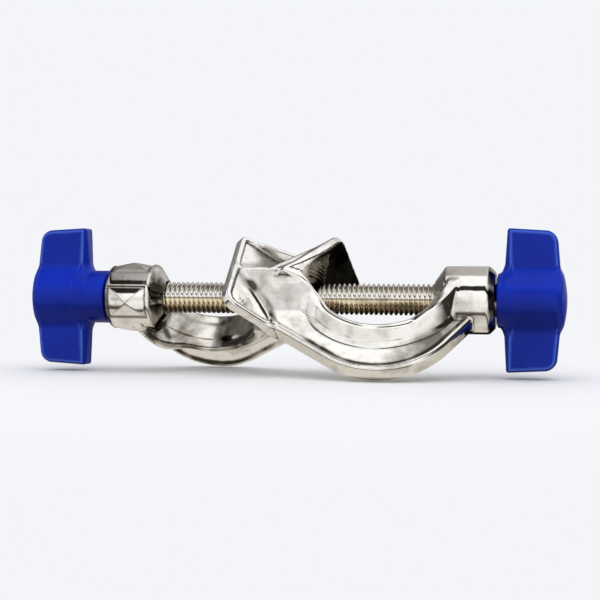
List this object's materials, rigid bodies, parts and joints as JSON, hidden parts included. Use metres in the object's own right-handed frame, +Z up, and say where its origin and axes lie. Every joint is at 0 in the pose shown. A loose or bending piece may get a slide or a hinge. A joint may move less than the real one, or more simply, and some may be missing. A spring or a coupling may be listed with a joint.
{
  "type": "boss head clamp",
  "caption": "Right-angle rod clamp: open hooks crossed back to back on a common line, each with a vee seat and a winged thumb screw.",
  "frame": {"origin": "on the surface that the clamp lies on, straight below the point where the two hooks cross on the screw line", "axes": "+X along the screw line towards the right-hand screw, +Z up, +Y away from the front; the part turned half a turn about Z has its hooks in the same places"},
  "size_m": [0.1367, 0.0384, 0.0369],
  "materials": {
    "casting": "bright nickel plate over a die casting, slightly wavy and pitted",
    "screw": "bright nickel-plated steel, rolled thread",
    "knob": "royal blue moulded plastic, satin gloss with a fine grain"
  },
  "bodies": {
    "casting": {"clamp_body": "casting"},
    "right_thumb_screw": {"right_screw": "screw"},
    "right_thumb_knob": {"right_knob": "knob"},
    "left_thumb_screw": {"left_screw": "screw"},
    "left_thumb_knob": {"left_knob": "knob"}
  },
  "joints": [
    {"name": "right_screw_travel", "type": "slide", "parent": "casting", "child": "right_thumb_screw", "axis": [1, 0, 0], "range_m": [0, 0.03]},
    {"name": "right_knob_turn", "type": "hinge", "parent": "right_thumb_screw", "child": "right_thumb_knob", "pos_m": [0.055, 0, 0.01916], "axis": [1, 0, 0], "range_deg": [0, 8640]},
    {"name": "left_screw_travel", "type": "slide", "parent": "casting", "child": "left_thumb_screw", "axis": [-1, 0, 0], "range_m": [0, 0.02625]},
    {"name": "left_knob_turn", "type": "hinge", "parent": "left_thumb_screw", "child": "left_thumb_knob", "pos_m": [-0.052, 0, 0.01916], "axis": [-1, 0, 0], "range_deg": [0, 7560]}
  ],
  "couplings": [
    {"joint": "right_knob_turn", "follows": "right_screw_travel", "rad_per_m": 5026.5},
    {"joint": "left_knob_turn", "follows": "left_screw_travel", "rad_per_m": 5026.5}
  ]
}
